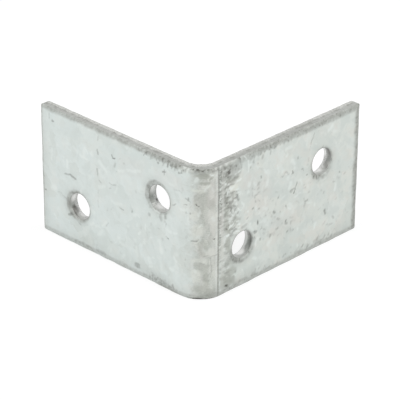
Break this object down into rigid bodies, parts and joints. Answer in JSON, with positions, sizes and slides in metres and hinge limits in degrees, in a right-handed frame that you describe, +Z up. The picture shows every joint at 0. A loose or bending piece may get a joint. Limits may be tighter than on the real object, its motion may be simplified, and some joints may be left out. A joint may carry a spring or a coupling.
{
  "type": "corner brace bracket",
  "caption": "Square corner brace folded from one strip of galvanised sheet steel, with a staggered pair of round screw holes in each leg.",
  "frame": {"origin": "where the planes of the two outer faces meet, at the level of the bottom edge", "axes": "+X along leg X, +Y along leg Y, +Z up along the fold, from the bottom edge to the top edge"},
  "size_m": [0.0403, 0.04, 0.025],
  "materials": {
    "zinc_steel": "hot-dip galvanised, matt, with faint spangle"
  },
  "bodies": {
    "root": {"bracket": "zinc_steel"}
  },
  "joints": []
}
